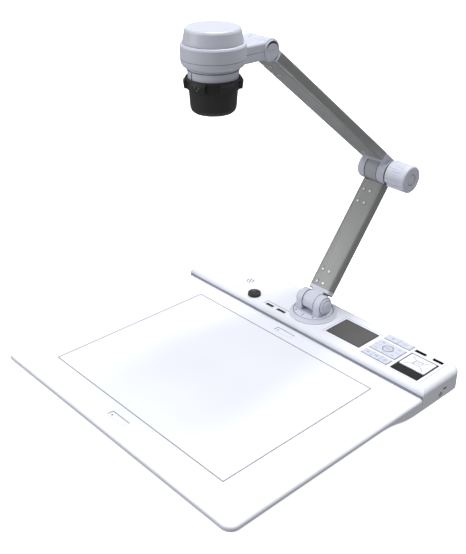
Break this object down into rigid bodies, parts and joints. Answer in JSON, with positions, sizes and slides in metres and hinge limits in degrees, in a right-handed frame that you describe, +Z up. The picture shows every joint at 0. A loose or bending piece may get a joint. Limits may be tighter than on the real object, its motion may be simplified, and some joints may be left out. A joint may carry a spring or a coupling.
{
  "type": "document camera",
  "caption": "Desk document camera: flat stage, rear control panel, two-part folding arm with lock knob, and a turning camera head with a black lens hood.",
  "frame": {"origin": "on the surface it stands on, under the middle of the whole object's box at rest", "axes": "+X to the user's right along the stage's front edge, +Y to the back, +Z up"},
  "size_m": [0.408, 0.4647, 0.42],
  "materials": {
    "shell_white": "satin moulded, very pale cool white",
    "head_white": "satin moulded, pale cool grey-white",
    "key_white": "satin, pale cool white",
    "black_plastic": "fine-grained matt black",
    "arm_metal": "warm grey anodised, fine lengthwise grain",
    "steel": "bare",
    "bright_screw": "bright",
    "port_metal": "dulled plating",
    "bearing_brass": "plain",
    "circuit_board": "solder resist",
    "screen_glass": "dark, satin",
    "lens_glass": "coated",
    "foot_rubber": "matt"
  },
  "bodies": {
    "base": {"stage_plate": "shell_white", "rear_housing": "shell_white", "bottom_cover": "shell_white", "key_bezel": "shell_white", "ballast_plate": "steel", "rubber_feet": "foot_rubber", "case_screws": "steel", "main_board": "circuit_board", "key_board": "circuit_board", "lcd_panel": "circuit_board", "lcd_window": "screen_glass", "nav_surround": "black_plastic", "front_ports": "port_metal", "top_ports": "port_metal", "rear_ports": "port_metal", "dc_jack": "port_metal", "lock_plate": "port_metal", "speaker": "black_plastic", "swivel_ring": "head_white", "swivel_bearing": "bearing_brass"},
    "swivel": {"turntable": "head_white", "swivel_retainer": "steel", "base_hinge_pin": "steel", "base_hinge_caps": "head_white"},
    "lower_arm": {"lower_arm_tube": "arm_metal", "lower_arm_root": "head_white", "lower_arm_knuckle": "head_white", "lower_arm_screws": "bright_screw"},
    "upper_arm": {"upper_arm_tube": "arm_metal", "upper_arm_tip": "head_white", "upper_arm_screws": "bright_screw", "elbow_fork": "head_white", "elbow_pin": "steel", "elbow_cap": "head_white"},
    "lock_knob": {"elbow_knob": "head_white", "elbow_knob_cap": "head_white"},
    "yoke": {"yoke_upper_shell": "head_white", "yoke_lower_shell": "head_white", "head_hinge_pin": "steel", "head_hinge_caps": "head_white"},
    "camera": {"head_cap": "head_white", "head_barrel": "head_white", "sensor_board": "circuit_board", "lens_barrel": "black_plastic", "front_lens": "lens_glass"},
    "focus_ring": {"focus_collar": "black_plastic", "lens_hood": "black_plastic"},
    "dial": {"dial_knob": "black_plastic"},
    "back_key_1": {"back_key_1": "key_white"},
    "back_key_2": {"back_key_2": "key_white"},
    "quad_key_1": {"quad_key_1": "key_white"},
    "quad_key_2": {"quad_key_2": "key_white"},
    "quad_key_3": {"quad_key_3": "key_white"},
    "quad_key_4": {"quad_key_4": "key_white"},
    "front_key_1": {"front_key_1": "key_white"},
    "front_key_2": {"front_key_2": "key_white"},
    "front_key_3": {"front_key_3": "key_white"},
    "round_key": {"round_key": "key_white"},
    "nav_pad": {"nav_pad": "key_white"},
    "nav_key": {"nav_key": "key_white"}
  },
  "joints": [
    {"name": "arm_swivel", "type": "hinge", "parent": "base", "child": "swivel", "pos_m": [0, 0.104, 0.033], "axis": [0, 0, 1], "range_deg": [-60, 60]},
    {"name": "lower_arm_tilt", "type": "hinge", "parent": "swivel", "child": "lower_arm", "pos_m": [0, 0.104, 0.0454], "axis": [1, 0, 0], "range_deg": [-15, 32]},
    {"name": "elbow", "type": "hinge", "parent": "lower_arm", "child": "upper_arm", "pos_m": [0, 0.2151, 0.19925], "axis": [1, 0, 0], "range_deg": [-40, 25]},
    {"name": "elbow_lock", "type": "hinge", "parent": "upper_arm", "child": "lock_knob", "pos_m": [0.039, 0.2151, 0.19925], "axis": [1, 0, 0], "range_deg": [-180, 180]},
    {"name": "head_tilt", "type": "hinge", "parent": "upper_arm", "child": "yoke", "pos_m": [0, -0.00407, 0.39023], "axis": [1, 0, 0], "range_deg": [-35, 50]},
    {"name": "camera_turn", "type": "hinge", "parent": "yoke", "child": "camera", "pos_m": [0, -0.0675, 0.392], "axis": [0, 0, 1], "range_deg": [-90, 90]},
    {"name": "focus_turn", "type": "hinge", "parent": "camera", "child": "focus_ring", "pos_m": [0, -0.0675, 0.366], "axis": [0, 0, 1], "range_deg": [-45, 45]},
    {"name": "dial_turn", "type": "hinge", "parent": "base", "child": "dial", "pos_m": [-0.0853, 0.0795, 0.03], "axis": [0, 0, 1], "continuous": true},
    {"name": "back_key_1_press", "type": "slide", "parent": "base", "child": "back_key_1", "axis": [0, 0, -1], "range_m": [0, 0.0006], "stiffness_N_per_m": 300},
    {"name": "back_key_2_press", "type": "slide", "parent": "base", "child": "back_key_2", "axis": [0, 0, -1], "range_m": [0, 0.0006], "stiffness_N_per_m": 300},
    {"name": "quad_key_1_press", "type": "slide", "parent": "base", "child": "quad_key_1", "axis": [0, 0, -1], "range_m": [0, 0.0006], "stiffness_N_per_m": 300},
    {"name": "quad_key_2_press", "type": "slide", "parent": "base", "child": "quad_key_2", "axis": [0, 0, -1], "range_m": [0, 0.0006], "stiffness_N_per_m": 300},
    {"name": "quad_key_3_press", "type": "slide", "parent": "base", "child": "quad_key_3", "axis": [0, 0, -1], "range_m": [0, 0.0006], "stiffness_N_per_m": 300},
    {"name": "quad_key_4_press", "type": "slide", "parent": "base", "child": "quad_key_4", "axis": [0, 0, -1], "range_m": [0, 0.0006], "stiffness_N_per_m": 300},
    {"name": "front_key_1_press", "type": "slide", "parent": "base", "child": "front_key_1", "axis": [0, 0, -1], "range_m": [0, 0.0006], "stiffness_N_per_m": 300},
    {"name": "front_key_2_press", "type": "slide", "parent": "base", "child": "front_key_2", "axis": [0, 0, -1], "range_m": [0, 0.0006], "stiffness_N_per_m": 300},
    {"name": "front_key_3_press", "type": "slide", "parent": "base", "child": "front_key_3", "axis": [0, 0, -1], "range_m": [0, 0.0006], "stiffness_N_per_m": 300},
    {"name": "round_key_press", "type": "slide", "parent": "base", "child": "round_key", "axis": [0, 0, -1], "range_m": [0, 0.0006], "stiffness_N_per_m": 300},
    {"name": "nav_pad_press", "type": "slide", "parent": "base", "child": "nav_pad", "axis": [0, 0, -1], "range_m": [0, 0.0006], "stiffness_N_per_m": 300},
    {"name": "nav_key_press", "type": "slide", "parent": "base", "child": "nav_key", "axis": [0, 0, -1], "range_m": [0, 0.0006], "stiffness_N_per_m": 300}
  ]
}
